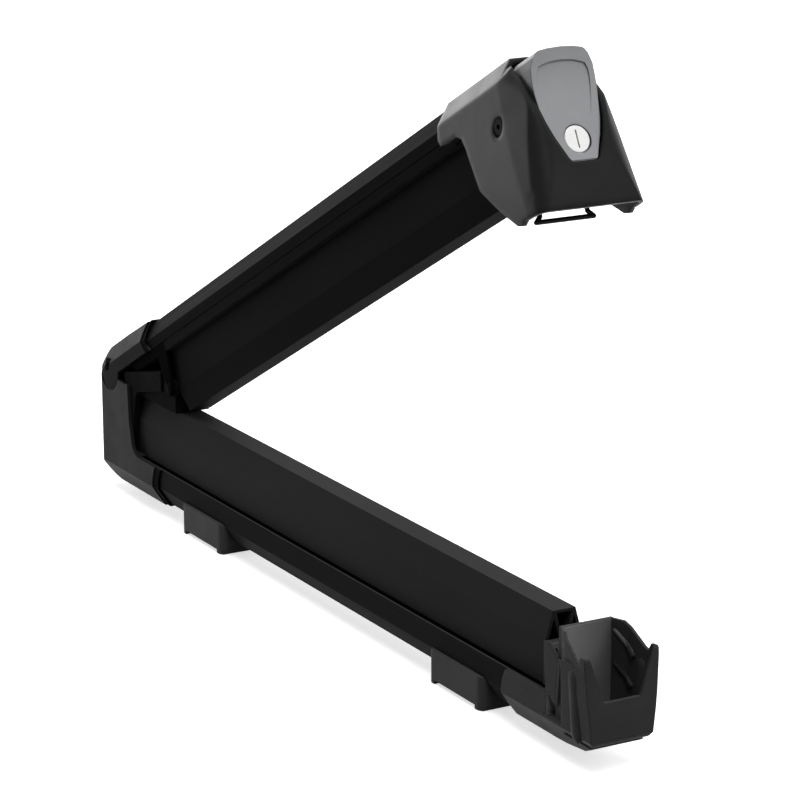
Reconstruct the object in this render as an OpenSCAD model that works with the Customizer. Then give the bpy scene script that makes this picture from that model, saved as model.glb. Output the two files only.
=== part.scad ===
// Roof ski carrier: two rubber-faced clamping arms on one hinge, with a push-button latch at the front.
// X runs along the lower arm to the latch, Z is up, and the origin is on the underside of the feet,
// midway between the two roof-bar bolts. The arm is shown open.

/* [Arms] */
// Length of the lower rubber pad
pad_len = 500; // [440:10:560]
// Height of a pad above its rail
pad_h = 39; // [37:0.5:42]
// Width of a pad's upright sides
pad_w = 22; // [20:0.5:22]
// Width of a pad's flat clamping face
pad_face_w = 13.8; // [12:0.2:16]
// Height of the upright sides, above which a pad tapers
pad_side_h = 24; // [20:0.5:28]
// Wall of the hollow rubber
pad_wall = 1.7; // [1.4:0.1:2.4]
// Width of an aluminium rail
rail_w = 31.6; // [31:0.2:33]
// Height of an aluminium rail
rail_h = 23.5; // [23:0.5:25]
// Wall of a rail
rail_wall = 2; // [1.6:0.1:2.4]
// Width of the bevel along a rail's outer edges
bevel_w = 6.3; // [5:0.1:7]
// Height of that bevel
bevel_h = 10.5; // [9.5:0.5:11.5]
// Gap between the two clamping faces when the arms are shut
shut_gap = 0.6; // [0.4:0.1:2]

/* [Hinge] */
// Opening angle of the upper arm
open_angle = 27.7; // [24:0.1:27.8]
// Hinge pin's place ahead of the lower pad's rear end
pin_ahead = 61.6; // [60:0.2:66]
// Hinge pin's height above the lower clamping face
pin_above = 17.5; // [17:0.5:19]
// Radius of the hinge pin
pin_r = 3; // [2.5:0.1:3.2]
// Running clearance of the hinge pin, on the radius
pin_play = 0.05; // [0.02:0.01:0.08]
// Wall of the moulded brackets
bracket_wall = 2.2; // [2:0.1:2.6]
// Radius of the knuckle at the rear of the hinge cap
knuckle_r = 14.5; // [13.5:0.1:15]
// Length of the hinge cap's cover over the upper rail
cap_cover = 41; // [36:1:46]
// Length of the bracket's sleeve over the lower rail
bracket_sleeve = 41; // [34:1:48]

/* [Feet] */
// Rear roof-bar bolt's distance from the pad's rear end
rear_inset = 109.5; // [104:0.5:118]
// Front roof-bar bolt's distance from the pad's front end
front_inset = 80.5; // [74:0.5:90]
// Height of the lower rail above the roof bar
foot_h = 8; // [7:0.5:12]
// Length of a foot along the arm
foot_len = 57; // [46:1:64]
// Width of a foot
foot_w = 36.6; // [36.4:0.2:40]
// Radius of the clearance hole for a roof-bar bolt
bolt_hole_r = 3.3; // [2.8:0.1:3.4]

/* [Catch] */
// Length of the catch's sleeve over the lower rail
catch_sleeve = 32.5; // [26:0.5:38]
// Distance from the pad's front end to the catch's front face
catch_reach = 56; // [55:0.5:58]
// Height of the catch's mouth above the roof bar
catch_top = 63.5; // [61:0.5:65]
// Half width of the catch at its foot
catch_foot_hw = 18.6; // [18.2:0.1:19.4]
// Half width of the catch at its mouth
catch_mouth_hw = 22.6; // [21.8:0.1:23.4]
// Wall of the catch
catch_wall = 2.4; // [2:0.1:2.8]
// Half width of the front notch at the mouth
notch_top_hw = 19.2; // [15:0.2:19.4]
// Half width of the front notch at its floor
notch_low_hw = 10.9; // [8:0.1:13]
// Height of the front notch's floor
notch_z = 39; // [34:0.5:44]

/* [Latch] */
// Length of the lock housing over its moulded front
housing_len = 95; // [92:1:100]
// Wall of the lock housing
housing_wall = 2.4; // [2:0.1:2.8]
// Widest part of the release button
button_w = 36.8; // [34:0.2:37.6]
// Height of the release button
button_h = 58; // [55:0.5:58.5]
// Radius of the lock cylinder's face
lock_r = 7.2; // [6.5:0.1:7.6]
// Diameter of the bail wire
bail_d = 2.6; // [2:0.1:3]
// Radius of the button's pivot pin
pivot_r = 2.5; // [2:0.1:2.8]
// Clearance round the release button
button_gap = 0.6; // [0.5:0.1:0.9]

/* [Hidden] */
$fn = 48;
fit = 0.1;
eps = 0.01;
// Levels of the lower arm
rail_z = foot_h;
lip_z = rail_z + rail_h;
face_z = lip_z + pad_h;
// Levels of the upper arm when shut
up_face_z = face_z + shut_gap;
up_lip_z = up_face_z + pad_h;
up_top_z = up_lip_z + rail_h;
// Roof-bar bolts, the origin midway between them
bolt_spacing = pad_len - rear_inset - front_inset;
pad_middle = (front_inset - rear_inset) / 2;
// Ends of the lower arm
pad_x0 = pad_middle - pad_len / 2;
pad_x1 = pad_middle + pad_len / 2;
rail_x0 = pad_x0 - 12;
rail_x1 = pad_x1 + 5;
// Hinge axis
pin_x = pad_x0 + pin_ahead;
pin_z = face_z + pin_above;
// Ends of the upper arm when shut
up_pad_x0 = pin_x + pin_r + 1.2;
up_pad_x1 = pad_x1 + 9;
up_rail_x0 = pin_x - 40;
up_rail_x1 = pad_x1 + 6;
block_x1 = pin_x + 8;
// Knuckle of the hinge cap when shut, and where it rests when the arm is open
knuckle_x = pin_x - 79.1;
knuckle_z = up_lip_z + 13.1;
knuckle_dx = knuckle_x - pin_x;
knuckle_dz = knuckle_z - pin_z;
cup_x = pin_x + knuckle_dx * cos(open_angle) - knuckle_dz * sin(open_angle);
cup_z = pin_z + knuckle_dx * sin(open_angle) + knuckle_dz * cos(open_angle);
cap_edge_z = up_lip_z + 6.3;
// Hinge bracket
leg_x0 = cup_x - knuckle_r - 0.9;
leg_x1 = pad_x0 + 5;
leg_top = face_z + 6.5;
sleeve_x1 = leg_x1 + bracket_sleeve - 3.5;
// Catch
cup_front = pad_x1 + catch_reach;
plate_x1 = pad_x1 + 12;
box_x0 = cup_front - 36;
ledge_top = lip_z + 25;
plate_z = lip_z + pad_side_h;
guide_top = face_z - 0.6;
// Lock housing when shut
house_x1 = pad_x1 + 65;
house_x0 = house_x1 - housing_len;
house_top = up_top_z - 1.6;
house_low = house_top - 84.5;
house_crown = up_top_z + 1.4;
front_low_z = house_low + 1.2;
bulkhead_x = up_pad_x1 + 1;
// Latch parts when shut
pivot_x = house_x1 - 30;
pivot_z = up_lip_z - 8.9;
button_top = house_top - 2;
button_low = button_top - button_h;
button_x0 = house_x1 - 12;
lock_z = button_low + 11.4;
bail_x = pivot_x - 1.4;
bail_z = pivot_z - 50.4;
bail_hw = 16.9;
bail_leg_hw = 14;
arm_hw = 12.2;
// Fasteners
screw_r = 2;
head_r = 4.4;

// Extrudes a (y, z) outline from x0 to x1
module along_x(x0, x1) {
    translate([x0, 0, 0]) rotate([90, 0, 90]) linear_extrude(x1 - x0) children();
}

// Extrudes an (x, z) outline from y0 to y1
module along_y(y0, y1) {
    translate([0, y1, 0]) rotate([90, 0, 0]) linear_extrude(y1 - y0) children();
}

// Repeats on the near and the far side
module both_sides() {
    children();
    mirror([0, 1, 0]) children();
}

// Turns the upper arm from shut to open about the hinge pin
module opened() {
    translate([pin_x, 0, pin_z]) rotate([0, -open_angle, 0]) translate([-pin_x, 0, -pin_z]) children();
}

// Cylinder across the arm
module cross_pin(x, z, y0, y1, r) {
    translate([x, y0, z]) rotate([-90, 0, 0]) cylinder(r = r, h = y1 - y0);
}

// Box with rounded upright edges
module round_box(x0, x1, hw, z0, z1, r) {
    translate([x0 + r, -hw, z0]) cube([x1 - x0 - 2 * r, 2 * hw, z1 - z0]);
    translate([x0, -hw + r, z0]) cube([x1 - x0, 2 * hw - 2 * r, z1 - z0]);
    for (x = [x0 + r, x1 - r], y = [-hw + r, hw - r]) translate([x, y, z0]) cylinder(r = r, h = z1 - z0);
}

// Points of an arc from angle a0 to a1
function arc(cx, cz, r, a0, a1, n = 8) =
    [for (i = [0:n]) let (a = a0 + (a1 - a0) * i / n) [cx + r * cos(a), cz + r * sin(a)]];

// Outer section of a rail as (y, height), grown by g all round, its top at the height top
bevel_a = atan(bevel_h / bevel_w);
function section(g, top) =
    let (low = rail_w / 2 - bevel_w + g * tan(bevel_a / 2),
         side = rail_w / 2 + g,
         turn = bevel_h - g * tan((90 - bevel_a) / 2))
    [[-low, -g], [low, -g], [side, turn], [side, top], [-side, top], [-side, turn]];

// Inner half width of a rail's chamber at the height u
function chamber(u) = rail_w / 2 - bevel_w + u * bevel_w / bevel_h - rail_wall / sin(bevel_a);
channel_floor = rail_h - 8.2;
channel_hw = rail_w / 2 - 2.6;
chamber_top = channel_floor - rail_wall;
chamber_side = rail_w / 2 - rail_wall;
slot_hw = 5.3;
slot_box = slot_hw + 1.8;
slot_roof = 8.8;
groove_u = rail_h - 6.3;

// Channel that holds a pad's base
module pad_channel() {
    translate([-channel_hw, channel_floor]) square([2 * channel_hw, rail_h - 2.2 - channel_floor]);
    translate([-pad_w / 2 - 0.3, channel_floor]) square([pad_w + 0.6, rail_h]);
}

// Lower rail: pad channel above, hollow chamber, and a slot for the roof-bar nuts below
module lower_rail_section() {
    difference() {
        polygon(section(0, rail_h));
        pad_channel();
        polygon([[-chamber(rail_wall), rail_wall], [-slot_box, rail_wall], [-slot_box, slot_roof],
            [slot_box, slot_roof], [slot_box, rail_wall], [chamber(rail_wall), rail_wall],
            [chamber(bevel_h), bevel_h], [chamber_side, chamber_top], [-chamber_side, chamber_top],
            [-chamber(bevel_h), bevel_h]]);
        translate([-slot_hw, rail_wall]) square([2 * slot_hw, 5]);
        translate([-bolt_hole_r - 0.2, -1]) square([2 * bolt_hole_r + 0.4, rail_wall + 1.5]);
    }
}

// Upper rail: the same form with a closed back and a fine groove along each side
module upper_rail_section() {
    difference() {
        polygon(section(0, rail_h));
        pad_channel();
        polygon([[-chamber(rail_wall), rail_wall], [chamber(rail_wall), rail_wall],
            [chamber(bevel_h), bevel_h], [chamber_side, chamber_top], [-chamber_side, chamber_top],
            [-chamber(bevel_h), bevel_h]]);
        for (s = [-1, 1]) translate([s * rail_w / 2, groove_u]) square([1.2, 0.8], center = true);
    }
}

// Hollow rubber section with two webs from the face's corners to its middle, v above the rail's lip
module pad_section() {
    side = pad_w / 2;
    face = pad_face_w / 2;
    inner = side - pad_wall;
    waist = pad_side_h - 10.5;
    difference() {
        union() {
            polygon([[-side, -3], [side, -3], [side, pad_side_h], [face, pad_h], [-face, pad_h],
                [-side, pad_side_h]]);
            translate([-channel_hw + 0.2, -7.9]) square([2 * channel_hw - 0.4, 5.4]);
        }
        polygon([[-face + 2.4, pad_h - pad_wall], [face - 2.4, pad_h - pad_wall], [0, waist + 5.5]]);
        for (s = [-1, 1]) {
            polygon([[s * inner, waist], [s * inner, pad_side_h - 0.6], [s * (face - 0.8), pad_h - 4.2],
                [s * 1, waist + 3], [s * 1, waist]]);
            polygon([[s * inner, -5.6], [s * inner, waist - 1.8], [s * 1, waist - 1.8], [s * 1, -5.6]]);
        }
    }
}

module lower_rail() color("#2b2c2e")
    translate([0, 0, rail_z]) along_x(rail_x0, rail_x1) lower_rail_section();

module lower_pad() color("#1b1b1c")
    translate([0, 0, lip_z]) along_x(pad_x0, pad_x1) pad_section();

// Side outline of the hinge bracket: upright leg, round heel and sleeve with a bowed front edge
heel_r = 18;
sleeve_bow = 4;
bracket_low = rail_z - bracket_wall;
sleeve_mid = (bracket_low + lip_z) / 2;
bow_r = (sleeve_bow * sleeve_bow + pow(lip_z - sleeve_mid, 2)) / (2 * sleeve_bow);
bow_a = asin((lip_z - sleeve_mid) / bow_r);
module bowed_end(x, grow) {
    translate([x + bow_r - sleeve_bow + grow, 0, sleeve_mid]) rotate([90, 0, 0])
        cylinder(r = bow_r, h = 80, center = true, $fn = 96);
}

module bracket_outline() {
    difference() {
        polygon(concat(
            [[leg_x0, cup_z - 3], [leg_x0, bracket_low], [sleeve_x1 + 4, bracket_low],
                [sleeve_x1 + 4, lip_z + 0.3]],
            arc(leg_x1 + 13, lip_z + 10.3, 10, 270, 190, 8),
            [[leg_x1, lip_z + 20], [leg_x1 - 1.5, leg_top], [leg_x1 - 6, leg_top - 0.6]]));
        difference() {
            translate([leg_x0 - 1, bracket_low - 1]) square(heel_r + 1);
            translate([leg_x0 + heel_r, bracket_low + heel_r]) circle(r = heel_r);
        }
    }
}

module hinge_bracket() color("#3b3c3e")
    difference() {
        intersection() {
            along_y(-30, 30) bracket_outline();
            translate([0, 0, rail_z]) along_x(leg_x0 - 1, sleeve_x1 + 10) polygon(section(bracket_wall, 90));
            round_box(leg_x0, sleeve_x1 + 20, rail_w / 2 + bracket_wall, 0, 200, 5);
        }
        bowed_end(sleeve_x1, 0);
        translate([0, 0, rail_z]) along_x(rail_x0 - 0.3, sleeve_x1 + 10) polygon(section(fit, rail_h + 0.5));
        translate([pad_x0 - 0.4, -pad_w / 2 - 0.4, lip_z - 1]) cube([80, pad_w + 0.8, 80]);
        translate([leg_x0 + 3.4, -frame_hw - fit, lip_z + 1])
            cube([80, 2 * frame_hw + 2 * fit, 80]);
        translate([leg_x0 + 5, -frame_hw + 2, bracket_low + 6])
            cube([rail_x0 - leg_x0 - 7, 2 * frame_hw - 4, 40]);
        cross_pin(cup_x, cup_z, -30, 30, knuckle_r + 0.35);
        translate([bracket_screw_x, 0, bracket_low - 1]) cylinder(r = screw_r + 0.4, h = 12);
    }

// Rubber ring in the mouth of the sleeve
seal_len = 7;
module sleeve_seal(x, grow) {
    difference() {
        translate([0, 0, rail_z]) along_x(x - sleeve_bow - 4, x + seal_len) polygon(section(grow, rail_h));
        translate([0, 0, rail_z]) along_x(x - 30, x + 30) polygon(section(fit, rail_h + 1));
        difference() {
            translate([x - 30, -40, -5]) cube([60, 80, 60]);
            bowed_end(x, fit);
        }
        bowed_end(x, seal_len);
    }
}

module bracket_seal() color("#141415") sleeve_seal(sleeve_x1, bracket_wall - 0.7);

// L-shaped frame that stands in the bracket's leg and carries the hinge pin
frame_hw = rail_w / 2 - 0.2;
cheek_t = 2;
tongue_y = pad_w / 2 + 0.5;
bar_front = pin_x - 12.1;
web_front = pin_x + 0.6;
bar_rise = 12.6 / 55;
bar_x0 = leg_x1 - 10;
bar_top = face_z + 13;
function bar_z(x) = bar_top + (x - bar_x0) * bar_rise;

module frame_outline() {
    polygon([[leg_x0 + 3.6, lip_z + 1.5], [leg_x1 - 1.8, lip_z + 1.5], [leg_x1 + 6, face_z + 0.5],
        [leg_x1 + 8.5, face_z + 3.8], [bar_front, bar_z(bar_front) - 13], [bar_front, bar_z(bar_front)],
        [bar_x0, bar_top], [bar_x0, face_z - 1], [bar_x0 - 4, face_z - 4.5], [leg_x0 + 3.6, face_z - 4.5]]);
}

module hinge_frame() color("#28292a")
    difference() {
        union() {
            along_y(-frame_hw, frame_hw) frame_outline();
            along_y(-tongue_y, tongue_y)
                polygon([[bar_x0, face_z + 0.5], [web_front, face_z + 0.5],
                    [web_front, bar_z(web_front) - 6], [bar_front, bar_z(bar_front) - 1],
                    [bar_x0, bar_top - 1]]);
            both_sides() {
                along_y(tongue_y, tongue_y + cheek_t)
                    polygon([[bar_front - 4, bar_z(bar_front) - 12], [pin_x, pin_z - 6],
                        [pin_x, pin_z + 6], [bar_front - 4, bar_z(bar_front) - 2]]);
                cross_pin(pin_x, pin_z, tongue_y, tongue_y + cheek_t, 6);
            }
        }
        // Room for the lower pad between the legs
        translate([pad_x0 - 0.5, -pad_w / 2 - 0.4, lip_z]) cube([120, pad_w + 0.8, pad_h + 0.5]);
        cross_pin(cup_x, cup_z, -30, 30, knuckle_r + 0.35);
        cross_pin(pin_x, pin_z, -30, 30, pin_r + pin_play);
        // Cored out from the rear, as the moulding is
        translate([leg_x0 + 6.5, -frame_hw + 2.5, lip_z + 4])
            cube([bar_x0 - leg_x0 - 8, 2 * frame_hw - 5, 22]);
    }

// Saddle foot: cheeks up the rail's sides, a ribbed hollow below and the bolt boss in its middle
foot_cheek = 11;
foot_lift = 2.2;
module foot(x) {
    x0 = x - foot_len / 2;
    x1 = x + foot_len / 2;
    hw = foot_w / 2;
    difference() {
        intersection() {
            round_box(x0, x1, hw, 0, rail_z + foot_cheek, 5);
            along_y(-30, 30) polygon([[x0 + 2, 0], [x1 - 1, 0], [x1, 4], [x1, rail_z + foot_cheek - 2],
                [x1 - 2, rail_z + foot_cheek], [x0 + 1, rail_z + foot_cheek],
                [x0, rail_z + foot_cheek - 1]]);
        }
        translate([0, 0, rail_z]) along_x(x0 - 1, x1 + 1) polygon(section(fit, rail_h));
        // The side walls stop short of the roof bar
        both_sides() translate([x0 + 7, hw - 4, -1]) cube([foot_len - 14, 10, foot_lift + 1]);
        difference() {
            translate([x0 + 3, -hw + 3, -1]) cube([foot_len - 6, 2 * hw - 6, rail_z - 1.6]);
            translate([x, 0, -1]) cylinder(r = 8.5, h = 20);
            for (s = [-1, 1]) translate([x + s * foot_len / 5 - 1, -hw, foot_lift]) cube([2, 2 * hw, 20]);
            translate([x0, -1, foot_lift]) cube([foot_len, 2, 20]);
        }
        translate([x, 0, -1]) cylinder(r = bolt_hole_r, h = 20);
    }
}

module rear_foot() color("#353638") foot(-bolt_spacing / 2);

module front_foot() color("#353638") foot(bolt_spacing / 2);

// Nuts that slide in the lower rail's slot and take the roof-bar bolts
module slide_nuts() color("#a7a9ab")
    for (s = [-1, 1]) translate([s * bolt_spacing / 2, 0, 0])
        difference() {
            translate([-10, -slot_hw + 0.2, rail_z + rail_wall]) cube([20, 2 * slot_hw - 0.4, 4.6]);
            translate([0, 0, rail_z - 1]) cylinder(r = bolt_hole_r, h = 10);
        }

// Screws that hold the hinge bracket and the catch to the lower rail, from below
bracket_screw_x = sleeve_x1 - 20;
catch_screw_x = pad_x1 - catch_sleeve / 2 + 1;
module pan_screw(len) {
    difference() {
        union() {
            translate([0, 0, -2.2]) cylinder(r = head_r, h = 2.2);
            cylinder(r = screw_r, h = len);
        }
        translate([0, 0, -3]) cylinder(r = 1.5, h = 2.2, $fn = 6);
    }
}

module bracket_screws() color("#5a5b5d") {
    translate([bracket_screw_x, 0, bracket_low]) pan_screw(bracket_wall + rail_wall + 4);
    translate([catch_screw_x, 0, bracket_low]) pan_screw(bracket_wall + rail_wall + 4);
}

// Catch: sleeve over the rail, end plate before the pad and an open cup with guide walls and ratchet ribs
catch_x0 = pad_x1 - catch_sleeve;
cup_floor = rail_z + 6;
function cup_hw(z, inset = 0) = catch_foot_hw
    + (catch_mouth_hw - catch_foot_hw) * (z - bracket_low) / (catch_top - bracket_low) - inset;

module cup_front_view(inset, z0, z1) {
    polygon([[-cup_hw(z0, inset), z0], [cup_hw(z0, inset), z0], [cup_hw(z1, inset), z1],
        [-cup_hw(z1, inset), z1]]);
}

module cup_side_view() {
    polygon([[plate_x1 - 4, bracket_low], [box_x0 + 2, bracket_low + 0.6],
        [cup_front - 14, bracket_low + 3.4], [cup_front - 6, bracket_low + 7],
        [cup_front - 1.5, bracket_low + 10.4], [cup_front, bracket_low + 12.6],
        [cup_front, notch_z - 8], [cup_front - 1.8, catch_top - 1], [cup_front - 2.6, catch_top],
        [cup_front - 6, catch_top], [cup_front - 8.4, catch_top - 4.4], [cup_front - 11.5, catch_top - 3.2],
        [box_x0 + 9, guide_top], [box_x0, guide_top], [box_x0, plate_z - 14],
        [plate_x1 - 4, plate_z - 20]]);
}

// Half width of the tower's walls at x, narrow at the rear and as wide as the cup from the bail forwards
bail_clear = bail_hw + bail_d / 2 + 0.35;
function tower_hw(inset) = [[box_x0 - 3, 15.4 - inset], [box_x0 + 2.4, 15.8 - inset],
    [bail_x - 0.8, bail_clear + catch_wall - 0.8 - inset], [cup_front - 6, catch_mouth_hw - 0.6 - inset],
    [cup_front + 4, catch_mouth_hw - inset]];
module tower_plan(inset) {
    polygon(concat(tower_hw(inset), [for (i = [4:-1:0]) [tower_hw(inset)[i][0], -tower_hw(inset)[i][1]]]));
}

// Slanting ribs on the cup's inner sides, under which the wire bail hooks
rib_r = 1.3;
rib_y = bail_hw + bail_d / 2 - 1;
rib_slope = 40.5;
module catch_rib(x, z, len) {
    translate([x, z]) rotate(180 - rib_slope) {
        translate([0, -rib_r]) square([len, 2 * rib_r]);
        circle(r = rib_r);
    }
}

module catch_bracket() color("#3b3c3e")
    difference() {
        union() {
            // Sleeve round the rail, its rear edge bowed
            difference() {
                intersection() {
                    translate([0, 0, rail_z]) along_x(catch_x0 - 6, plate_x1)
                        polygon(section(bracket_wall, rail_h + 0.4));
                    union() {
                        bowed_rear();
                        translate([catch_x0 + bow_r, -30, 0]) cube([60, 60, 60]);
                    }
                }
                translate([0, 0, rail_z]) along_x(catch_x0 - 20, rail_x1 + 0.3)
                    polygon(section(fit, rail_h + 1));
            }
            // Plate before the pad's end, a cross wall and a fin at each side
            translate([rail_x1 + 0.4, -pad_w / 2 - 1.5, rail_z + 6]) cube([plate_x1 - rail_x1 + 1, pad_w + 3,
                plate_z - rail_z - 6]);
            translate([pad_x1 + 0.6, -pad_w / 2 - 1.5, lip_z + 0.05])
                cube([rail_x1 - pad_x1, pad_w + 3, plate_z - lip_z]);
            translate([plate_x1 - 1.8, -17.4, rail_z + 14]) cube([2, 34.8, guide_top - 12 - rail_z - 14]);
            both_sides() along_y(15.9, 17.4)
                polygon([[plate_x1 - 1, guide_top - 12], [plate_x1 + 0.4, guide_top - 10],
                    [box_x0 + 1.8, guide_top - 17], [box_x0 - 0.2, bracket_low + 21],
                    [plate_x1 - 1, bracket_low + 27]]);
            // Open cup
            difference() {
                intersection() {
                    along_y(-30, 30) cup_side_view();
                    along_x(plate_x1 - 4, cup_front + 1) cup_front_view(0, bracket_low - 1, guide_top + 1);
                    along_x(plate_x1 - 4, cup_front + 1) polygon([[-10.9, bracket_low], [10.9, bracket_low],
                        [catch_foot_hw, bracket_low + 12.6], [catch_mouth_hw + 2, guide_top + 4],
                        [-catch_mouth_hw - 2, guide_top + 4], [-catch_foot_hw, bracket_low + 12.6]]);
                    union() {
                        translate([0, 0, cup_floor]) linear_extrude(100) tower_plan(0);
                        round_box(box_x0 + 8, cup_front, 26, 0, ledge_top, 3);
                        translate([plate_x1 - 8, -26, 0]) cube([48, 52, cup_floor + 6]);
                    }
                }
                intersection() {
                    translate([0, 0, cup_floor]) linear_extrude(100) intersection() {
                        tower_plan(catch_wall - 0.7);
                        translate([box_x0 + 2.6, -30]) square([cup_front - catch_wall - box_x0 - 2.6, 60]);
                    }
                    along_x(box_x0, cup_front)
                        cup_front_view(catch_wall - 0.4, cup_floor - 1, guide_top + 20);
                }
                along_x(cup_front - 10, cup_front + 2) polygon([[-notch_low_hw, notch_z],
                    [notch_low_hw, notch_z], [notch_top_hw, catch_top + 0.2], [notch_top_hw, catch_top + 9],
                    [-notch_top_hw, catch_top + 9], [-notch_top_hw, catch_top + 0.2]]);
                // Flutes between the fin and the wide part of the cup
                both_sides() translate([box_x0 + 6.6, cup_hw(40) + 2.6, bracket_low + 13])
                    cylinder(r = 5, h = 80);
                translate([plate_x1 + 3, -catch_foot_hw + 6, cup_floor + 4])
                    cube([box_x0 - plate_x1 - 4.4, 2 * catch_foot_hw - 12, 80]);
            }
            intersection() {
                both_sides() along_y(rib_y, 30) {
                    catch_rib(bail_x + 3, bail_z + 2.7, 30);
                    catch_rib(bail_x + 1.6, bail_z - 14, 24);
                }
                translate([0, 0, cup_floor]) linear_extrude(guide_top - 2 - cup_floor) tower_plan(0.6);
            }
        }
        translate([catch_screw_x, 0, bracket_low - 1]) cylinder(r = screw_r + 0.4, h = 12);
    }

module bowed_rear() {
    translate([catch_x0 + bow_r, 0, sleeve_mid]) rotate([90, 0, 0])
        cylinder(r = bow_r, h = 80, center = true, $fn = 96);
}

// Upper rail with its channel cut away over the hinge block
module upper_rail() color("#2b2c2e") opened()
    difference() {
        translate([0, 0, up_top_z]) mirror([0, 0, 1]) along_x(up_rail_x0, up_rail_x1) upper_rail_section();
        translate([up_rail_x0 - 1, -30, up_lip_z - 1]) cube([block_x1 - up_rail_x0 + 1.2, 60, 7.3]);
        translate([house_screw_x, 0, up_top_z - 10]) cylinder(r = screw_r + 0.05, h = 20);
    }

module upper_pad() color("#1b1b1c") opened()
    translate([0, 0, up_lip_z]) mirror([0, 0, 1])
        difference() {
            along_x(up_pad_x0, up_pad_x1) pad_section();
            translate([up_pad_x0 - 1, -30, -20]) cube([block_x1 - up_pad_x0 + 1.6, 60, 20]);
            translate([up_rail_x1 - 0.2, -30, -20]) cube([200, 60, 17.6]);
        }

// Hinge block: slides into the upper rail and reaches down to the pin with two ears
block_hw = rail_w / 2 - 0.1;
ear_y = tongue_y + cheek_t + 0.2;
ear_t = 2;
module hinge_block() color("#303133") opened()
    difference() {
        union() {
            along_y(-block_hw, block_hw) polygon(concat(
                arc(up_rail_x0 + 2.6, up_lip_z + 12, 12, 209, 270, 6),
                [[block_x1, up_lip_z], [block_x1, up_lip_z + 6.2]]));
            translate([up_rail_x0 + 1, -channel_hw + 0.2, up_lip_z + 6])
                cube([block_x1 - up_rail_x0 - 1, 2 * channel_hw - 0.4, 2.1]);
            translate([knuckle_x + 6, -channel_hw, cap_edge_z - 0.5])
                cube([up_rail_x0 - 0.3 - knuckle_x - 6, 2 * channel_hw, 11.4]);
            translate([knuckle_x - 5, -8.6, knuckle_z - 3]) cube([12, 17.2, 9.5]);
            translate([up_rail_x0 - 8, -chamber(rail_wall) + 0.3, up_top_z - chamber_top + 0.3])
                cube([45, 2 * chamber(rail_wall) - 0.6, chamber_top - rail_wall - 0.6]);
            both_sides() {
                along_y(ear_y, ear_y + ear_t) polygon([[pin_x - 5.2, pin_z], [pin_x + 5.2, pin_z],
                    [block_x1, up_lip_z + 1], [pin_x - 5.2, up_lip_z + 1]]);
                cross_pin(pin_x, pin_z, ear_y, ear_y + ear_t, 5.2);
            }
            // Wall between the ears, behind the pad's end
            translate([pin_x - 1, -ear_y - 0.5, pin_z + 9.6])
                cube([4.2, 2 * ear_y + 1, up_lip_z - pin_z - 8]);
        }
        cross_pin(pin_x, pin_z, -30, 30, pin_r + 0.02);
        cross_pin(cap_screw_x, cap_screw_z, -30, 30, screw_r + 0.02);
    }

// Hinge cap: cover over the rail's end with a round knuckle that rests in the bracket's cup
cap_top = up_top_z + 3.4;
cap_x1 = up_rail_x0 + cap_cover - 15;
cap_bow = 8;
cap_bow_r = (cap_bow * cap_bow + 144) / (2 * cap_bow);
cap_screw_x = knuckle_x - 1.6;
cap_screw_z = knuckle_z + 2.4;
module cap_front(x, grow) {
    translate([x + cap_bow_r - cap_bow + grow, 0, (cap_edge_z + cap_top) / 2]) rotate([90, 0, 0])
        cylinder(r = cap_bow_r, h = 80, center = true, $fn = 96);
}

module cap_body() {
    intersection() {
        union() {
            cross_pin(knuckle_x, knuckle_z, -30, 30, knuckle_r);
            along_y(-30, 30) polygon([[knuckle_x, knuckle_z + knuckle_r], [knuckle_x + 4, cap_edge_z],
                [cap_x1 + 4, cap_edge_z], [cap_x1 + 4, cap_top - 1.2]]);
        }
        translate([0, 0, up_top_z + 1.2]) mirror([0, 0, 1])
            along_x(knuckle_x - 20, cap_x1 + 6) polygon(section(bracket_wall, 60));
        round_box(knuckle_x - knuckle_r, cap_x1 + 20, rail_w / 2 + bracket_wall, 0, 400, 5);
    }
}

module hinge_cap() color("#6a6c6f") opened()
    difference() {
        cap_body();
        cap_front(cap_x1, 0);
        translate([0, 0, up_top_z]) mirror([0, 0, 1])
            along_x(knuckle_x + 4, cap_x1 + 8) polygon(section(fit, 60));
        intersection() {
            cross_pin(knuckle_x, knuckle_z, -9, 9, knuckle_r - 2.2);
            translate([knuckle_x - 30, -30, 0]) cube([60, 60, 400]);
        }
        both_sides() {
            cross_pin(cap_screw_x, cap_screw_z, 8, 30, screw_r + 0.3);
            cross_pin(cap_screw_x, cap_screw_z, rail_w / 2 + 0.2, 30, head_r);
        }
    }

module cap_seal() color("#141415") opened()
    difference() {
        translate([0, 0, up_top_z + 0.6]) mirror([0, 0, 1])
            along_x(cap_x1 - cap_bow - 3, cap_x1 + seal_len)
                polygon(section(bracket_wall - 0.6, rail_h - 5.6));
        translate([0, 0, up_top_z]) mirror([0, 0, 1])
            along_x(cap_x1 - 40, cap_x1 + 40) polygon(section(fit, 60));
        difference() {
            translate([cap_x1 - 40, -40, 0]) cube([80, 80, 400]);
            cap_front(cap_x1, fit);
        }
        cap_front(cap_x1, seal_len - 2);
    }

// Countersunk screws in the sides of the hinge cap
module cap_screws() color("#8c8e90") opened() both_sides()
    difference() {
        union() {
            cross_pin(cap_screw_x, cap_screw_z, channel_hw - 9, rail_w / 2 + 0.3, screw_r);
            cross_pin(cap_screw_x, cap_screw_z, rail_w / 2 + 0.2, rail_w / 2 + 1.2, head_r - 0.3);
        }
        cross_pin(cap_screw_x, cap_screw_z, rail_w / 2 + 0.4, rail_w / 2 + 4, 1.5);
    }

module hinge_pin() color("#9b9da0")
    cross_pin(pin_x, pin_z, -ear_y - ear_t - 1.4, ear_y + ear_t + 1.4, pin_r);

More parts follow.
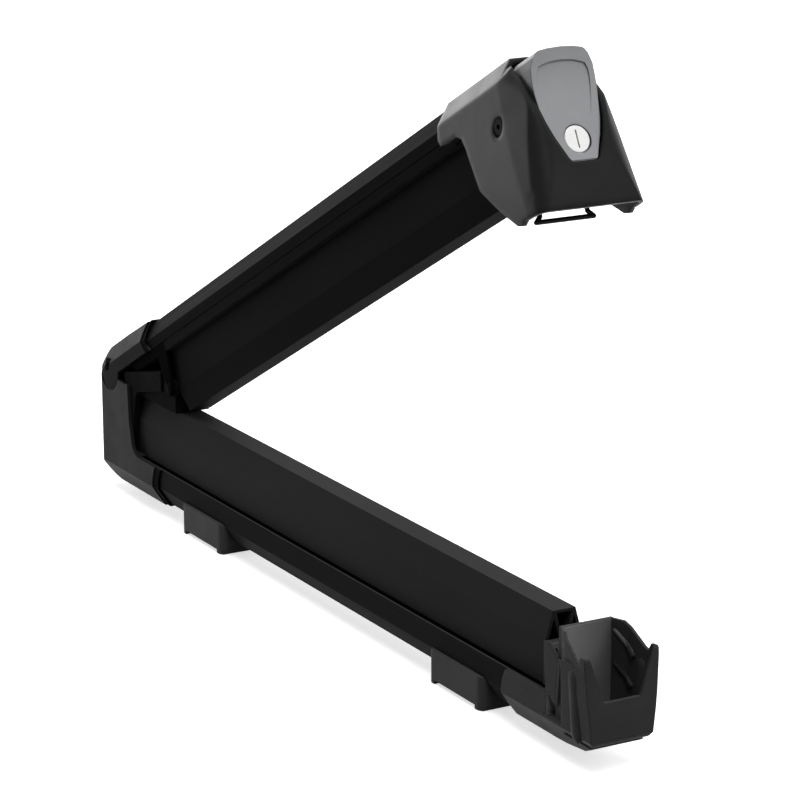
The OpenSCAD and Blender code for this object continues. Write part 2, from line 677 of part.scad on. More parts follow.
// Retaining rings on the ends of the hinge pin
module pin_clips() color("#7b7d80") both_sides()
    difference() {
        cross_pin(pin_x, pin_z, ear_y + ear_t + 0.1, ear_y + ear_t + 0.9, pin_r + 1.6);
        cross_pin(pin_x, pin_z, ear_y, ear_y + ear_t + 2, pin_r);
        translate([pin_x - 1.4, ear_y, pin_z]) cube([2.8, 6, 8]);
    }

// Sides of the lock housing: one large arc each, and a second that turns inwards ahead of a leaning crease
house_low_hw = 32.3;
side_r = 400;
side_lean = 2.5;
crease_lean = 4.24;
crease_yaw = 9.5;
crease_x = house_x1 - 12.5;
side_cy = house_low_hw - side_r * cos(side_lean);
side_cz = house_low - side_r * sin(side_lean);
function house_hw(z) = side_cy + sqrt(side_r * side_r - pow(z - side_cz, 2));

module side_arc(inset, lean, yaw) {
    translate([crease_x, house_low_hw, house_low]) rotate([0, 0, -yaw])
        translate([-150, -side_r * cos(lean), -side_r * sin(lean)]) rotate([0, 90, 0])
        cylinder(r = side_r - inset, h = 300, $fn = 400);
}

// Front of the housing: a flat arc below, and a brow that sweeps back above it
front_r = 155;
front_mid_z = house_low + 30.5;
brow_r = 57;
brow_z = house_low + 44.5;
brow_a = asin((brow_z - front_mid_z) / front_r);
front_cx = house_x1 + 0.4 - front_r;
brow_cx = front_cx + (front_r - brow_r) * cos(brow_a);
brow_cz = front_mid_z + (front_r - brow_r) * sin(brow_a);
module front_arcs(inset) {
    intersection() {
        cross_pin(front_cx, front_mid_z, -70, 70, front_r - inset, $fn = 300);
        union() {
            cross_pin(brow_cx, brow_cz, -70, 70, brow_r - inset, $fn = 200);
            translate([house_x0 - 60, -70, house_low - 60]) cube([300, 140, brow_z - house_low + 60]);
            translate([house_x0 - 60, -70, house_low - 60]) cube([brow_cx - house_x0 + 60, 140, 300]);
        }
    }
}

// Crown with a wide bevel along each shoulder
shoulder_hw = 12;
shoulder_slope = 1.22;
module shoulder_view(inset) {
    out = 70;
    low = house_crown - (out - shoulder_hw) * shoulder_slope;
    polygon([[-out, low - inset * 1.3], [-out, low - 200], [out, low - 200], [out, low - inset * 1.3],
        [shoulder_hw - inset * 0.5, house_crown - inset],
        [-shoulder_hw + inset * 0.5, house_crown - inset]]);
}

// Lower edge of the skirts, from the rear socket down to the front lobe
module skirt_outline(inset) {
    polygon([[house_x0 + inset, house_top + 20], [house_x0 + inset, up_lip_z + 5.4],
        [house_x0 + 3, up_lip_z + 1.5], [bulkhead_x - 20, up_lip_z + 1.2], [bulkhead_x - 14, up_lip_z - 2.2],
        [bulkhead_x - 10, up_lip_z - 9], [bulkhead_x - 5.5, up_lip_z - 20], [bulkhead_x, up_lip_z - 34],
        [house_x1 - 43, house_low + 17], [house_x1 - 34, house_low + 9], [house_x1 - 24, house_low + 0.8],
        [house_x1 - 20, house_low - 0.4], [house_x1 - 16.5, front_low_z], [house_x1 + 5, front_low_z],
        [house_x1 + 5, house_top + 20]]);
}

// Round corner between the front and each side
corner_r = 14;
corner_lean = 6.3;
module corner_rounds(inset) {
    both_sides() translate([house_x1 - 13.5, house_low_hw - 13.1, house_low]) rotate([corner_lean, 0, 0])
        difference() {
            translate([0, 0, -30]) cube([40, 40, 160]);
            translate([0, 0, -40]) cylinder(r = corner_r - inset, h = 180, $fn = 96);
        }
}

module housing_solid(inset) {
    difference() {
        intersection() {
            front_arcs(inset);
            side_arc(inset, side_lean, 0);
            mirror([0, 1, 0]) side_arc(inset, side_lean, 0);
            side_arc(inset, crease_lean, crease_yaw);
            mirror([0, 1, 0]) side_arc(inset, crease_lean, crease_yaw);
            along_x(house_x0 - 5, house_x1 + 5) shoulder_view(inset);
            along_y(-60, 60) skirt_outline(inset);
        }
        corner_rounds(inset);
    }
}

// Shield shape of the release button as (y, z), grown by g and lifted by rise at its top
module button_outline(g, rise = 0) {
    h = button_h;
    polygon(concat(
        [for (p = button_half) [p[0] * button_w / 2 + g, button_low + p[1] * h + (p[1] > 0.7 ? rise : -g)]],
        [for (i = [len(button_half) - 1:-1:0]) let (p = button_half[i])
            [-p[0] * button_w / 2 - g, button_low + p[1] * h + (p[1] > 0.7 ? rise : -g)]]));
}
button_half = [[0.39, 0], [0.43, 0.012], [0.6, 0.126], [0.74, 0.225], [0.83, 0.315], [0.88, 0.37],
    [0.935, 0.477], [0.984, 0.604], [1, 0.69], [1, 0.742], [0.978, 0.842], [0.87, 0.928], [0.783, 0.962],
    [0.7, 0.98], [0.41, 0.994], [0, 1]];

house_screw_x = house_x0 + 17;
module lock_housing() color("#333436") opened()
    difference() {
        housing_solid(0);
        // Hollow front chamber, open below, with a ledge for the spring
        difference() {
            intersection() {
                housing_solid(housing_wall);
                translate([bulkhead_x + 2.4, -60, 0]) cube([200, 120, 400]);
            }
            translate([bulkhead_x, -5, ledge_z]) cube([6, 10, 2.5]);
        }
        translate([bulkhead_x + 2.4, -house_hw(house_low + 12) + housing_wall, house_low - 20])
            cube([house_x1 - 7 - bulkhead_x - 2.4, 2 * (house_hw(house_low + 12) - housing_wall), 33]);
        // Socket for the rail, and room for the pad between the skirts
        translate([0, 0, up_top_z]) mirror([0, 0, 1])
            along_x(house_x0 - 10, up_rail_x1 + 0.3) polygon(section(fit, rail_h));
        translate([house_x0 - 10, -pad_w / 2 - 1, house_low - 30])
            cube([up_pad_x1 + 0.6 - house_x0 + 10, pad_w + 2, up_lip_z + 9 - house_low + 30]);
        translate([house_x0 + 20, -rail_w / 2 + 1.6, house_low - 30])
            cube([bulkhead_x - house_x0 - 20, rail_w - 3.2, up_lip_z - house_low + 30]);
        // Opening for the button, cut through the brow
        along_x(pivot_x + 5.5, house_x1 + 10) button_outline(button_gap, 4.5);
        along_x(pivot_x + 5.5, house_x1 + 10) translate([-button_w * 0.36, button_top - 2])
            square([button_w * 0.72, 30]);
        // Pivot pin
        cross_pin(pivot_x, pivot_z, -60, 60, pivot_r + 0.03);
        both_sides() cross_pin(pivot_x, pivot_z, house_hw(pivot_z) - 1.6, 60, 5.4);
        // Countersunk screw into the rail
        translate([house_screw_x, 0, up_top_z - 10]) cylinder(r = screw_r + 0.3, h = 30);
    }

module housing_screw() color("#5a5b5d") opened()
    difference() {
        union() {
            translate([house_screw_x, 0, up_top_z - 9])
                cylinder(r = screw_r, h = house_crown - up_top_z + 9.2);
            translate([house_screw_x, 0, house_crown]) cylinder(r = head_r, h = 1.8);
        }
        translate([house_screw_x, 0, house_crown + 0.6]) cylinder(r = 1.5, h = 3, $fn = 6);
    }

// Pivot pin of the button, with a hollow head in each side of the housing
module pivot_pin() color("#8c8e90") opened()
    difference() {
        union() {
            cross_pin(pivot_x, pivot_z, -house_hw(pivot_z) + 1, house_hw(pivot_z) - 1, pivot_r);
            both_sides() cross_pin(pivot_x, pivot_z, house_hw(pivot_z) - 1.6, house_hw(pivot_z) - 0.4, 5.1);
        }
        both_sides() cross_pin(pivot_x, pivot_z, house_hw(pivot_z) - 2.6, house_hw(pivot_z) + 1, 1.5);
    }

// Release button: hollow-ground shield face with a fading thumb recess, and a rocker that carries the bail
button_rear = pivot_x + 9.8;
face_r = 120;
face_mid_z = button_low + 23;
face_mid_x = house_x1 - 2.8;
lock_face_x = house_x1 - 2.5;
module release_button() color("#8b8e91") opened()
    difference() {
        union() {
            difference() {
                along_x(button_rear, house_x1 + 2.6) button_outline(0);
                cross_pin(face_mid_x + face_r, face_mid_z, -30, 30, face_r, $fn = 300);
                // Thumb recess
                intersection() {
                    cross_pin(face_mid_x + face_r - 0.1, face_mid_z + 4, -30, 30, face_r, $fn = 300);
                    along_x(button_rear + 4, house_x1 + 10) both_halves(recess_half);
                }
            }
            // Rocker arms back to the pivot and down to the bail
            both_sides() {
                along_y(arm_hw - 2.4, arm_hw) polygon([[button_rear + 1, button_top - 9],
                    [button_rear + 1, lock_z + 4], [pivot_x + 4, pivot_z - 18], [pivot_x - 4, pivot_z - 18],
                    [pivot_x - 5.5, pivot_z], [pivot_x, pivot_z + 5.5]]);
                cross_pin(pivot_x, pivot_z, arm_hw - 2.4, arm_hw, 5.5);
            }
            translate([pivot_x - coil_r + spring_wire / 2 + 0.3, -arm_hw, pivot_z - 17.5])
                cube([3, 2 * arm_hw, 7]);
        }
        cross_pin(pivot_x, pivot_z, -40, 40, pivot_r + 0.05);
        cross_pin(bail_x, pivot_z - 13.5, -40, 40, bail_d / 2 + 0.02);
        translate([button_rear - 20, 0, lock_z]) rotate([0, 90, 0]) cylinder(r = lock_r - 0.6, h = 60);
        translate([lock_face_x - 4, 0, lock_z]) rotate([0, 90, 0]) cylinder(r = lock_r + 0.45, h = 20);
    }
module both_halves(half) {
    last = len(half) - 1;
    polygon(concat([for (p = half) [p[0] * button_w / 2, button_low + p[1] * button_h]],
        [for (i = [last:-1:0]) [-half[i][0] * button_w / 2, button_low + half[i][1] * button_h]]));
}
recess_half = [[0, 0.36], [0.5, 0.36], [0.62, 0.4], [0.72, 0.52], [0.8, 0.66], [0.82, 0.74], [0.8, 0.8],
    [0.72, 0.85], [0.4, 0.88], [0, 0.89]];

// Bent wire: bar across the front, corners turned in to two legs, and ends turned in to the rocker
module wire_bail() color("#1d1d1e") opened() {
    r = bail_d / 2;
    end_z = pivot_z - 13.5;
    turn = bail_hw - bail_leg_hw;
    cross_pin(bail_x, bail_z, -bail_hw, bail_hw, r);
    both_sides() {
        translate([bail_x, bail_hw, bail_z]) {
            sphere(r = r);
            rotate([45, 0, 0]) cylinder(r = r, h = turn * sqrt(2));
        }
        translate([bail_x, bail_leg_hw, bail_z + turn]) sphere(r = r);
        translate([bail_x, bail_leg_hw, bail_z + turn]) cylinder(r = r, h = end_z - bail_z - turn);
        translate([bail_x, bail_leg_hw, end_z]) sphere(r = r);
        cross_pin(bail_x, end_z, arm_hw - 3.4, bail_leg_hw, r);
    }
}

// Torsion spring round the pivot pin, its legs on the button's web and under the housing's ledge
spring_wire = 1;
spring_turns = 5;
spring_pitch = 0.9;
coil_r = pivot_r + 0.3 + spring_wire / 2;
spring_hy = (spring_turns - 1) / 2 * spring_pitch;
ledge_z = pivot_z + coil_r + spring_wire / 2 + 0.3;
module button_spring() color("#b4b6b8") opened() {
    wire_a = 30;
    turns = [0:spring_turns - 1];
    outer = [for (i = turns) each arc(coil_r, i * spring_pitch - spring_hy, spring_wire / 2, wire_a - 90,
        90 - wire_a, 6)];
    inner = [for (i = turns) each arc(coil_r, spring_hy - i * spring_pitch, spring_wire / 2, 90 + wire_a,
        270 - wire_a, 6)];
    translate([pivot_x, 0, pivot_z]) rotate([90, 0, 0]) rotate_extrude() polygon(concat(outer, inner));
    leg_d = spring_wire - 0.3;
    leg_y = spring_hy - 0.03;
    translate([pivot_x - coil_r, -leg_y, pivot_z - 14]) cylinder(d = leg_d, h = 14.2);
    translate([bulkhead_x + 3, leg_y, pivot_z + coil_r]) rotate([0, 90, 0])
        cylinder(d = leg_d, h = pivot_x - bulkhead_x - 2.8);
}

// Lock cylinder with its keyway, the cam behind it and the clip that holds both
module lock_cylinder() color("#c9cbcc") opened()
    difference() {
        union() {
            translate([lock_face_x - 3.9, 0, lock_z]) rotate([0, 90, 0]) cylinder(r = lock_r, h = 3.4);
            translate([lock_face_x - 0.5, 0, lock_z]) rotate([0, 90, 0])
                cylinder(r1 = lock_r, r2 = lock_r - 0.5, h = 0.5);
            translate([button_x0 - 11, 0, lock_z]) rotate([0, 90, 0])
                cylinder(r = lock_r - 0.66, h = lock_face_x - 3 - button_x0 + 11);
            translate([button_x0 - 16, 0, lock_z]) rotate([0, 90, 0]) cylinder(r = 2.6, h = 8);
        }
        translate([lock_face_x - 5, -0.4, lock_z - 4.6]) cube([20, 0.8, 9.2]);
    }

module lock_cam() color("#8c8e90") opened()
    difference() {
        union() {
            translate([button_x0 - 13.6, 0, lock_z]) rotate([0, 90, 0]) cylinder(r = 5, h = 2);
            translate([button_x0 - 13.6, -3, lock_z]) cube([2, 6, 8.4]);
        }
        translate([button_x0 - 20, 0, lock_z]) rotate([0, 90, 0]) cylinder(r = 2.6, h = 20);
    }

module lock_clip() color("#6f7174") opened()
    difference() {
        translate([button_x0 - 14.8, 0, lock_z]) rotate([0, 90, 0]) cylinder(r = 4.6, h = 1);
        translate([button_x0 - 20, 0, lock_z]) rotate([0, 90, 0]) cylinder(r = 2.6, h = 20);
        translate([button_x0 - 16, -1.4, lock_z - 8]) cube([4, 2.8, 8]);
    }

lower_rail();
lower_pad();
hinge_bracket();
bracket_seal();
hinge_frame();
rear_foot();
front_foot();
slide_nuts();
bracket_screws();
catch_bracket();
upper_rail();
upper_pad();
hinge_block();
hinge_cap();
cap_seal();
cap_screws();
hinge_pin();
pin_clips();
lock_housing();
housing_screw();
pivot_pin();
release_button();
wire_bail();
button_spring();
lock_cylinder();
lock_cam();
lock_clip();
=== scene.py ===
import math

import bpy
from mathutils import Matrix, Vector


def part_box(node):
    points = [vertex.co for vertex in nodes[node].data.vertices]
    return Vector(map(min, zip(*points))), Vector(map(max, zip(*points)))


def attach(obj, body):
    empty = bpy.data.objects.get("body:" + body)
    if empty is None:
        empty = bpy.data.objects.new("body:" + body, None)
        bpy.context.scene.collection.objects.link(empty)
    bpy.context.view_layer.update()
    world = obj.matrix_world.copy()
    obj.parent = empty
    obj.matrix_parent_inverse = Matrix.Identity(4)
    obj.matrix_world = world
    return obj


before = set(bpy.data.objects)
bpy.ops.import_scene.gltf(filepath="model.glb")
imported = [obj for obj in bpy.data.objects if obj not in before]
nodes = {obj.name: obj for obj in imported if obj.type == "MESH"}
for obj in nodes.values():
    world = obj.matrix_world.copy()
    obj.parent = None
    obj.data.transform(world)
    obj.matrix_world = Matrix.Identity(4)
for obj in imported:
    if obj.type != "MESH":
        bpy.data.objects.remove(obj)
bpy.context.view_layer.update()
scene = bpy.context.scene

# The upper arm's opening angle: its grain and streaks run along the arm
ARM_TURN = math.radians(27.7)

# Places from the frame in metres: the catch, its cup's rear wall, the pivot's middle, the lower rail's lips
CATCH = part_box("catch_bracket")
CUP_REAR_X = CATCH[1].x - 0.0295
PIVOT = sum(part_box("pivot_pin"), Vector()) / 2
LIP_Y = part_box("lower_rail")[1].y - 0.0012


# Helpers for every node tree

def ranged(tree, value, lo, hi, start, end):
    """A value that runs from start to end while another one goes from lo to hi."""
    run = tree.nodes.new("ShaderNodeMapRange")
    for key, number in (("From Min", lo), ("From Max", hi), ("To Min", start), ("To Max", end)):
        run.inputs[key].default_value = number
    tree.links.new(value, run.inputs["Value"])
    return run.outputs["Result"]


def feed(tree, socket, value):
    """Links a socket to another one, or sets it to a value of its own."""
    if isinstance(value, bpy.types.NodeSocket):
        tree.links.new(value, socket)
    else:
        socket.default_value = value


def grey(level, blue=0.0):
    """A grey, with more blue in it or, below 0, with less."""
    return (level, level, level + blue)


# Materials

class Mat:
    """A node material with the few helpers that the finishes below share."""

    def __init__(self, name, turn=0.0):
        self.material = bpy.data.materials.new(name)
        self.material.use_nodes = True
        self.tree = self.material.node_tree
        self.shader = self.tree.nodes["Principled BSDF"]
        self.turned = self.new("Mapping")
        self.turned.inputs["Rotation"].default_value = (0, turn, 0)
        self.tree.links.new(self.new("TexCoord").outputs["Object"], self.turned.inputs["Vector"])

    def new(self, kind):
        return self.tree.nodes.new("ShaderNode" + kind)

    def noise(self, scale, detail=3.0, stretch=(1, 1, 1), rough=0.5):
        place = self.new("Mapping")
        place.inputs["Scale"].default_value = stretch
        self.tree.links.new(self.turned.outputs["Vector"], place.inputs["Vector"])
        texture = self.new("TexNoise")
        texture.inputs["Scale"].default_value = scale
        texture.inputs["Detail"].default_value = detail
        texture.inputs["Roughness"].default_value = rough
        self.tree.links.new(place.outputs["Vector"], texture.inputs["Vector"])
        return texture.outputs["Fac"]

    def ramp(self, value, start, end, lo=0.3, hi=0.7):
        return ranged(self.tree, value, lo, hi, start, end)

    def mix(self, share, first, second):
        """The first colour where share is 0, the second where it is 1."""
        blend = self.new("Mix")
        blend.data_type = "RGBA"
        for socket, color in ((blend.inputs["A"], first), (blend.inputs["B"], second)):
            feed(self.tree, socket, (*color, 1) if isinstance(color, tuple) else color)
        self.tree.links.new(share, blend.inputs["Factor"])
        return blend.outputs["Result"]

    def axis(self, output, name):
        """One component of the object's own coordinates or of its normal."""
        parts = self.new("SeparateXYZ")
        self.tree.links.new(self.new("TexCoord").outputs[output], parts.inputs["Vector"])
        return parts.outputs[name]

    def math(self, kind, first, second=0.0):
        result = self.new("Math")
        result.operation = kind
        feed(self.tree, result.inputs[0], first)
        feed(self.tree, result.inputs[1], second)
        return result.outputs["Value"]

    def sideness(self):
        """How far a face looks to the carrier's sides: 0 along it or up, 1 straight sideways."""
        return self.math("ABSOLUTE", self.axis("Normal", "Y"))

    def bump(self, value, height, under, strength=0.5):
        relief = self.new("Bump")
        relief.inputs["Strength"].default_value = strength
        relief.inputs["Distance"].default_value = height
        self.tree.links.new(value, relief.inputs["Height"])
        self.tree.links.new(under, relief.inputs["Normal"])
        return relief.outputs["Normal"]

    def rounded(self, radius):
        """A normal that shades the edges as if they had this radius."""
        bevel = self.new("Bevel")
        bevel.samples = 6
        bevel.inputs["Radius"].default_value = radius
        return bevel.outputs["Normal"]

    def set(self, **values):
        for name, value in values.items():
            feed(self.tree, self.shader.inputs[name.replace("_", " ")], value)


def moulded(name, dark, light, rough, specular, edge=0.0004, turn=0.0, paint=None):
    """Moulded plastic with spark-eroded grain and faint flow mottling; paint adds painted light and shade to
    its colour in places.
    """
    m = Mat(name, turn)
    grain = m.noise(scale=2600.0, detail=2.0)
    color = m.mix(m.ramp(m.noise(scale=38.0, detail=4.0), 0.0, 1.0), dark, light)
    if paint is not None:
        color = paint(m, color)
    m.set(Base_Color=color, Roughness=m.ramp(m.noise(scale=70.0), *rough),
          Normal=m.bump(grain, height=0.00004, under=m.rounded(edge), strength=0.6),
          Specular_IOR_Level=specular)
    return m.material


def painted_shade_flanks(m, color):
    """Painted shade: faces that look sideways are nearly black, as if shaded by the housing's walls."""
    return m.mix(m.ramp(m.sideness(), 0.0, 1.0, lo=0.55, hi=0.85), color, grey(0.05, 0.002))


def painted_shade_rim(m, color):
    """Painted shade: the pivot's head is black outside a radius of 3.7 mm, for the dark gap around it."""
    radius, soft = 0.0037, 0.0003
    across = m.math("SUBTRACT", m.axis("Object", "X"), PIVOT.x)
    up = m.math("SUBTRACT", m.axis("Object", "Z"), PIVOT.z)
    far = m.math("SQRT", m.math("ADD", m.math("MULTIPLY", across, across), m.math("MULTIPLY", up, up)))
    return m.mix(m.ramp(far, 0.0, 1.0, lo=radius, hi=radius + soft), color, grey(0.001))


def painted_light_cup_wall(m, color):
    """Painted light: the cup's rear wall is lighter, most of all towards -y, as where light falls into the
    cup.
    """
    soft, half_width = 0.001, 0.014
    rear = m.ramp(m.axis("Object", "X"), 1.0, 0.0, lo=CUP_REAR_X, hi=CUP_REAR_X + soft)
    forward = m.ramp(m.axis("Normal", "X"), 0.0, 1.0, lo=0.6, hi=0.8)
    across = m.ramp(m.axis("Object", "Y"), 0.0, 1.0, lo=-half_width, hi=half_width)
    return m.mix(m.math("MULTIPLY", rear, forward), color, m.mix(across, grey(0.30), grey(0.14)))


def anodised(name, turn, dark, light, specular, lip_y=None):
    """Black anodised extrusion with die lines, slight cloudiness and less sheen on its sides.

    lip_y is where its lips begin, from the middle. Their upward faces are lighter, a painted highlight; what
    looks up between them is black, painted shade of the slot between lips and pad."""
    m = Mat(name, turn)
    lines = m.noise(scale=900.0, stretch=(0.004, 1, 1))
    cloud = m.noise(scale=25.0, stretch=(0.3, 1, 1))
    color = m.mix(m.ramp(cloud, 0.0, 1.0), dark, light)
    shine = m.ramp(m.sideness(), specular, specular * 0.15, lo=0.5, hi=0.9)
    if lip_y is not None:
        soft = 0.0003
        # Masks for the painted highlight on the lips and the painted shade, without sheen, in the slot
        # between them
        upward = m.ramp(m.axis("Normal", "Z"), 0.0, 1.0, lo=0.5, hi=0.7)
        lips = m.ramp(m.math("ABSOLUTE", m.axis("Object", "Y")), 0.0, 1.0, lo=lip_y - soft, hi=lip_y)
        lip = m.math("MULTIPLY", upward, lips)
        slot = m.math("MULTIPLY", upward, m.math("SUBTRACT", 1.0, lips))
        color = m.mix(slot, m.mix(lip, color, grey(0.05, 0.001)), grey(0.001))
        shine = m.math("MULTIPLY", shine, m.math("SUBTRACT", 1.0, slot))
    m.set(Base_Color=color, Roughness=m.ramp(lines, 0.46, 0.58),
          Normal=m.bump(lines, height=0.00003, under=m.rounded(0.0006)), Specular_IOR_Level=shine)
    return m.material


def rubber(name, turn, dark, light, specular):
    """Extruded rubber: matt, with soft lines along it, a little bloom and painted light that makes faces
    looking up lighter.
    """
    m = Mat(name, turn)
    lines = m.noise(scale=420.0, stretch=(0.01, 1, 1))
    bloom = m.noise(scale=18.0, detail=5.0, stretch=(0.4, 1, 1), rough=0.6)
    pores = m.bump(m.noise(scale=3000.0, detail=2.0), height=0.00003, under=m.rounded(0.0005))
    # Painted light: faces that look up get a lighter colour.
    upward = m.ramp(m.axis("Normal", "Z"), 0.0, 1.0, lo=0.8, hi=0.95)
    m.set(Base_Color=m.mix(upward, m.mix(m.ramp(bloom, 0.0, 1.0), dark, light), grey(0.03)),
          Roughness=m.ramp(bloom, 0.62, 0.74), Normal=m.bump(lines, height=0.00005, under=pores),
          Specular_IOR_Level=specular)
    return m.material


def metal(name, color, rough, metallic=1.0, specular=0.5):
    """Machined or drawn steel with fine marks, which are a little darker."""
    m = Mat(name)
    marks = m.noise(scale=1600.0)
    dark = tuple(c * 0.85 for c in color)
    m.set(Base_Color=m.mix(m.ramp(marks, 0.0, 1.0), dark, color), Metallic=metallic,
          Roughness=m.ramp(marks, *rough), Normal=m.bump(marks, height=0.00001, under=m.rounded(0.0002)),
          Specular_IOR_Level=specular)
    return m.material


lower_alu = anodised("anodised_lower", 0.0, grey(0.013, 0.0005), grey(0.017, 0.0005), specular=0.04,
                     lip_y=LIP_Y)
# The upper arm's anodised and rubber are darker copies of the lower arm's: painted shade.
shaded_upper_alu = anodised("anodised_upper_shaded", ARM_TURN, grey(0.005, 0.0005), grey(0.008, 0.0005), specular=0.025)
lower_rubber = rubber("rubber_lower", 0.0, grey(0.018, 0.0002), grey(0.024, 0.0002), specular=0.03)
shaded_upper_rubber = rubber("rubber_upper_shaded", ARM_TURN, grey(0.005, 0.0002), grey(0.008, 0.0002), specular=0.012)
seal = rubber("rubber_seal", 0.0, grey(0.002), grey(0.003), specular=0.01)
nylon = moulded("nylon_black", grey(0.022, 0.0005), grey(0.029, 0.0005), rough=(0.40, 0.50), specular=0.025)
# The catch's nylon carries painted light on the cup's rear wall.
catch_nylon = moulded("nylon_catch", grey(0.048, 0.0005), grey(0.058, 0.0005), rough=(0.34, 0.44),
                      edge=0.0012, specular=0.02, paint=painted_light_cup_wall)
# The upper rib's much lighter copy of the catch nylon is a painted highlight.
rib_highlight_nylon = moulded("nylon_rib_highlight", grey(0.12), grey(0.14), rough=(0.34, 0.44), specular=0.05)
low_rib = moulded("nylon_low_rib", grey(0.025), grey(0.03), rough=(0.34, 0.44), specular=0.02)
foot = moulded("nylon_foot", grey(0.056, 0.001), grey(0.068, 0.001), rough=(0.46, 0.56), specular=0.04)
# The hinge block and frame get near-black copies of the nylon: painted shade of the dark hinge.
inner = moulded("nylon_inner_shaded", grey(0.003), grey(0.0045), rough=(0.7, 0.8), specular=0.002)
shaded_frame_nylon = moulded("nylon_frame_shaded", grey(0.006), grey(0.009), rough=(0.6, 0.7), specular=0.006)
housing = moulded("housing_black", grey(0.008, 0.0003), grey(0.011, 0.0003), rough=(0.34, 0.42),
                  edge=0.0045, turn=ARM_TURN, specular=0.085)
cap = moulded("cap_black", grey(0.010, 0.0003), grey(0.014, 0.0003), rough=(0.30, 0.38), edge=0.0010,
              turn=ARM_TURN, specular=0.006)
# The button's sideways faces carry painted shade.
button = moulded("button_grey", (0.320, 0.326, 0.340), (0.345, 0.351, 0.365), rough=(0.38, 0.46),
                 edge=0.0009, turn=ARM_TURN, specular=0.35, paint=painted_shade_flanks)
steel = metal("steel_bright", grey(0.55, 0.01), rough=(0.28, 0.42))
dark_steel = metal("steel_dark", grey(0.10, 0.005), rough=(0.32, 0.46))
black_steel = moulded("steel_black", grey(0.004), grey(0.006), rough=(0.55, 0.7), specular=0.006)
# The pivot's head carries a ring of painted shade.
pivot = moulded("pivot_black", grey(0.018), grey(0.022), rough=(0.5, 0.6), specular=0.02, paint=painted_shade_rim)
wire = metal("wire_black", grey(0.012), rough=(0.25, 0.38), metallic=0.2, specular=0.05)
lock = metal("lock_satin", grey(0.80, -0.01), rough=(0.42, 0.55), metallic=0.35)

finish = {
    "lower_rail": lower_alu, "upper_rail": shaded_upper_alu,
    "lower_pad": lower_rubber, "upper_pad": shaded_upper_rubber,
    "bracket_seal": seal, "cap_seal": seal,
    "hinge_bracket": nylon, "catch_bracket": catch_nylon, "hinge_frame": shaded_frame_nylon, "hinge_block": inner,
    "rear_foot": foot, "front_foot": foot,
    "hinge_cap": cap, "lock_housing": housing, "release_button": button,
    "slide_nuts": steel, "bracket_screws": dark_steel, "cap_screws": black_steel, "housing_screw": dark_steel,
    "hinge_pin": black_steel, "pin_clips": black_steel, "pivot_pin": pivot,
    "button_spring": steel, "wire_bail": wire,
    "lock_cylinder": lock, "lock_cam": steel, "lock_clip": dark_steel,
}
for name, obj in nodes.items():
    if obj.material_slots:
        for slot in obj.material_slots:
            slot.material = finish[name]
    else:
        obj.data.materials.append(finish[name])


def mesh_object(name, verts, faces, material):
    data = bpy.data.meshes.new(name)
    data.from_pydata(verts, [], faces)
    data.materials.append(material)
    obj = bpy.data.objects.new(name, data)
    scene.collection.objects.link(obj)
    return obj


# Slanting ribs in the cup and raised bands down its outer sides, in millimetres

FRONT = CATCH[1].x * 1000
LOW = CATCH[0].z * 1000

# Points around a bar, and the steps along it in which its ends round off
AROUND = 12
END_STEPS, END_START = 2.5, 0.15

# The cup's outer wall at its foot, and how far it leans out over its height
WALL_Y, WALL_LEAN, WALL_HEIGHT = 18.6, 4.0, 57.7

# The ribs' inmost line: half widths at the cup's rear and at the catch's own ribs, and how far each is
# behind the catch's front
REAR_Y, REAR_BACK = 13.3, 33.4
RIB_Y, RIB_BACK = 17.15, 23.2

# Half widths and half thicknesses; the band stands out from the wall by BAND_OUT
RIB_HALF, RIB_DEPTH = 1.36, 1.4
BAND_HALF, BAND_DEPTH, BAND_OUT = 4.6, 2.0, 0.9
BAND_X = FRONT - 14.0


def line(start, end, count, y_at):
    """Points from start to end, which are (x, z), each with its y from y_at(x, z)."""
    points = []
    for i in range(count + 1):
        x = start[0] + (end[0] - start[0]) * i / count
        z = start[1] + (end[1] - start[1]) * i / count
        points.append((x, y_at(x, z), z))
    return points


def rib_line(x, z):
    """Clear of the narrow wall at the rear, level with the catch's own rib before the wire."""
    forward = min(x, FRONT - RIB_BACK) - (FRONT - REAR_BACK)
    return REAR_Y + forward / (REAR_BACK - RIB_BACK) * (RIB_Y - REAR_Y)


def band_line(x, z):
    return WALL_Y + WALL_LEAN * (z - LOW) / WALL_HEIGHT + BAND_OUT


def bar(name, points, half, depth, side, material):
    """A round-ended bar on each of the two walls.

    points are (x, y, z) along the line where it stands out furthest, half is its half width across that line
    in the wall's plane, depth half its thickness, and side is 1 where it faces inwards, -1 outwards."""
    last = len(points) - 1
    along_x, along_z = points[-1][0] - points[0][0], points[-1][2] - points[0][2]
    length = math.hypot(along_x, along_z)
    across_x, across_z = -along_z / length, along_x / length
    verts, faces = [], []
    for wall in (-1, 1):
        base = len(verts)
        for i, (x, y, z) in enumerate(points):
            from_end = min(min(i, last - i) + END_START, END_STEPS) / END_STEPS
            grow = math.sqrt(1 - (1 - from_end) ** 2)
            for k in range(AROUND):
                angle = 2 * math.pi * k / AROUND
                off = half * grow * math.cos(angle)
                out = y + side * depth * (1 - grow * math.sin(angle))
                point = (x + across_x * off, wall * out, z + across_z * off)
                verts.append(tuple(value / 1000 for value in point))
        rings = [[base + i * AROUND + k for k in range(AROUND)] for i in range(last + 1)]
        skin = [(low[k], low[(k + 1) % AROUND], high[(k + 1) % AROUND], high[k])
                for low, high in zip(rings, rings[1:]) for k in range(AROUND)]
        skin += [tuple(rings[0][::-1]), tuple(rings[-1])]
        faces += skin if wall * side > 0 else [face[::-1] for face in skin]
    obj = mesh_object(name, verts, faces, material)
    for poly in obj.data.polygons:
        poly.use_smooth = len(poly.vertices) == 4
    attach(obj, "base")


